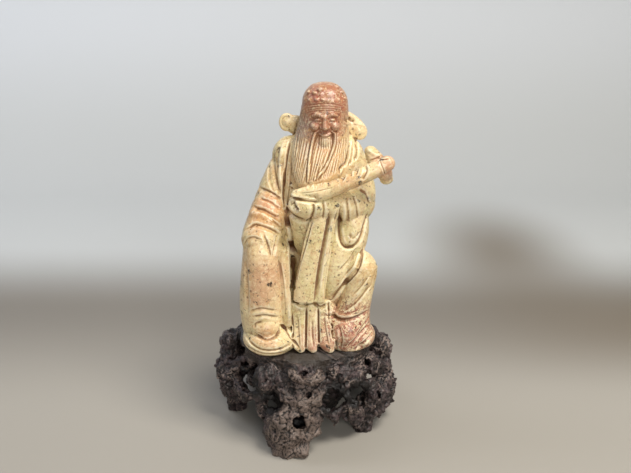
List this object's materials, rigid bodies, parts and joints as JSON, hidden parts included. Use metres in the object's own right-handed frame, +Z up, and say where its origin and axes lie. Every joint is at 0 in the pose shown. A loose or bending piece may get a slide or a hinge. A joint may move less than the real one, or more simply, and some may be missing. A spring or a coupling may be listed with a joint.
{
  "type": "soapstone deity figure",
  "caption": "Carved soapstone figure of a seated bearded sage in a tall cap, holding a sceptre, on a pierced rootwood stand it lifts off",
  "frame": {"origin": "on the table under the middle of the whole object", "axes": "+Z up, the figure faces -Y, +X is to the right of someone who faces the figure"},
  "size_m": [0.138, 0.1359, 0.2588],
  "materials": {
    "soapstone": null,
    "stained_wood": "carved root wood, stained dark brown and waxed"
  },
  "bodies": {
    "root": {"figure": "soapstone", "stand": "stained_wood"}
  },
  "joints": []
}
